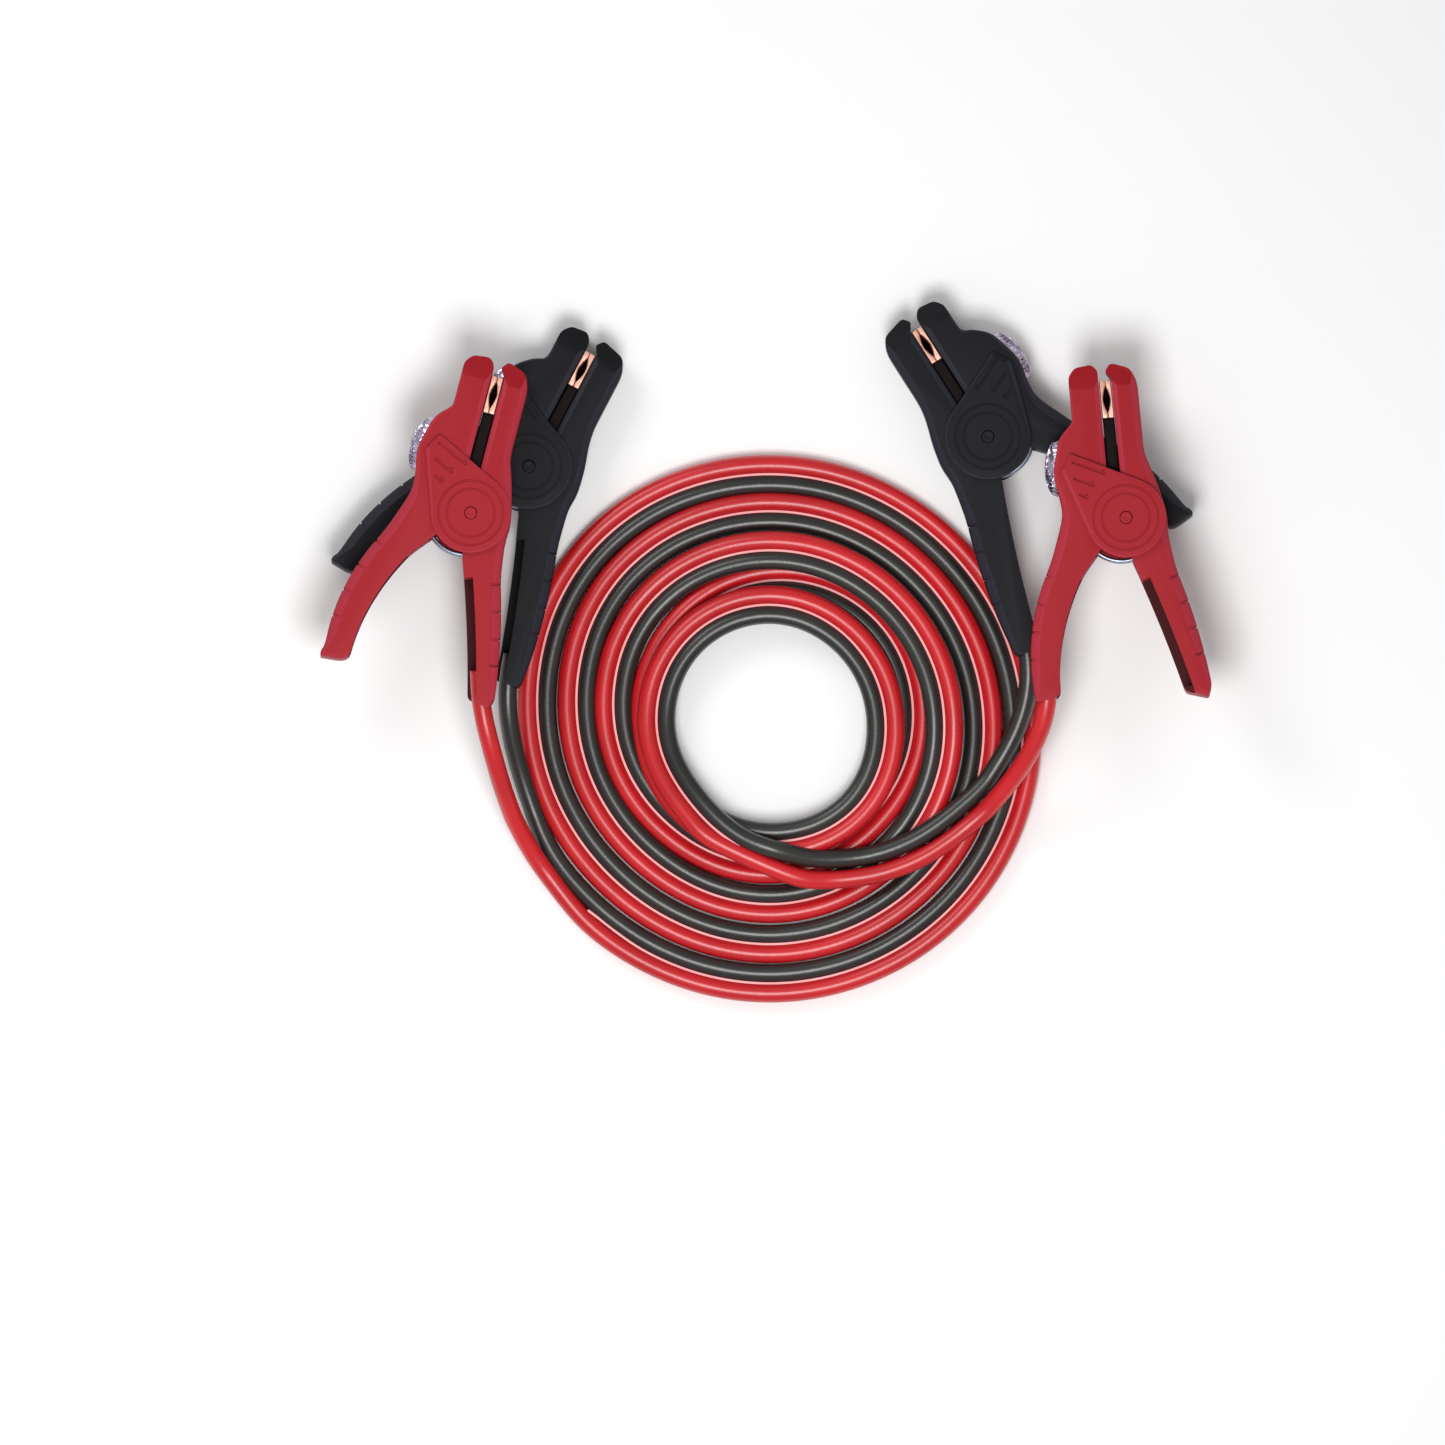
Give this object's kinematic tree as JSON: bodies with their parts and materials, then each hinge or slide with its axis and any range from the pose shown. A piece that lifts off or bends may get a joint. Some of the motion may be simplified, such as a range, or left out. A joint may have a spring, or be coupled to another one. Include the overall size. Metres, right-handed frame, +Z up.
{
  "type": "car jumper cable",
  "caption": "Bonded red and black jumper cable laid in a flat coil, with a spring clamp with a side lamp on each lead end.",
  "frame": {"origin": "on the floor, below the middle of the four clamps", "axes": "+Z up from the floor; +X to the right and +Y away from the coil towards the jaws, as seen from above"},
  "size_m": [0.4444, 0.3521, 0.0633],
  "materials": {
    "red_plastic": "satin moulded red plastic with fine texture",
    "black_plastic": "satin moulded blue-black plastic with fine texture",
    "red_cable": "smooth semi-gloss red cable jacket",
    "black_cable": "smooth semi-gloss black cable jacket",
    "copper": "bright copper plating",
    "spring_steel": "zinc-plated spring wire",
    "liner": "matt black insulating liner",
    "clear_lens": "clear moulded lens",
    "reflector": "bright faceted reflector"
  },
  "bodies": {
    "cable_set": {"cable_coil": "red_cable", "black_lead_left": "black_cable", "red_lead_left": "red_cable", "black_lead_right": "black_cable", "red_lead_right": "red_cable", "black_left_ribbed_half": "black_plastic", "black_left_pivot_pin": "black_plastic", "black_left_spring": "spring_steel", "black_left_copper_a": "copper", "black_left_jaw_liner": "liner", "black_right_ribbed_half": "black_plastic", "black_right_pivot_pin": "black_plastic", "black_right_spring": "spring_steel", "black_right_copper_a": "copper", "black_right_jaw_liner": "liner", "red_left_ribbed_half": "red_plastic", "red_left_pivot_pin": "red_plastic", "red_left_spring": "spring_steel", "red_left_copper_a": "copper", "red_left_jaw_liner": "liner", "red_right_lamp_half": "red_plastic", "red_right_front_cover": "red_plastic", "red_right_back_cover": "red_plastic", "red_right_pivot_pin": "red_plastic", "red_right_spring": "spring_steel", "red_right_copper_b": "copper", "red_right_lens": "clear_lens", "red_right_reflector": "reflector"},
    "black_left_jaw": {"black_left_lamp_half": "black_plastic", "black_left_front_cover": "black_plastic", "black_left_back_cover": "black_plastic", "black_left_copper_b": "copper", "black_left_lens": "clear_lens", "black_left_reflector": "reflector"},
    "black_right_jaw": {"black_right_lamp_half": "black_plastic", "black_right_front_cover": "black_plastic", "black_right_back_cover": "black_plastic", "black_right_copper_b": "copper", "black_right_lens": "clear_lens", "black_right_reflector": "reflector"},
    "red_left_jaw": {"red_left_lamp_half": "red_plastic", "red_left_front_cover": "red_plastic", "red_left_back_cover": "red_plastic", "red_left_copper_b": "copper", "red_left_lens": "clear_lens", "red_left_reflector": "reflector"},
    "red_right_jaw": {"red_right_ribbed_half": "red_plastic", "red_right_copper_a": "copper", "red_right_jaw_liner": "liner"}
  },
  "joints": [
    {"name": "black_left_hinge", "type": "hinge", "parent": "cable_set", "child": "black_left_jaw", "pos_m": [-0.11935, 0.01904, 0.0165], "axis": [0, 0.0732, 0.9973], "range_deg": [0, 22], "stiffness_Nm_per_rad": 4, "springref_deg": -20.05},
    {"name": "black_right_hinge", "type": "hinge", "parent": "cable_set", "child": "black_right_jaw", "pos_m": [0.11016, 0.03384, 0.01652], "axis": [0, -0.0732, -0.9973], "range_deg": [0, 22], "stiffness_Nm_per_rad": 4, "springref_deg": -20.05},
    {"name": "red_left_hinge", "type": "hinge", "parent": "cable_set", "child": "red_left_jaw", "pos_m": [-0.14844, -0.00436, 0.04559], "axis": [0, 0.0732, 0.9973], "range_deg": [0, 22], "stiffness_Nm_per_rad": 4, "springref_deg": -20.05},
    {"name": "red_right_hinge", "type": "hinge", "parent": "cable_set", "child": "red_right_jaw", "pos_m": [0.17925, -0.00666, 0.04417], "axis": [0, -0.0732, -0.9973], "range_deg": [0, 22], "stiffness_Nm_per_rad": 4, "springref_deg": -20.05}
  ]
}
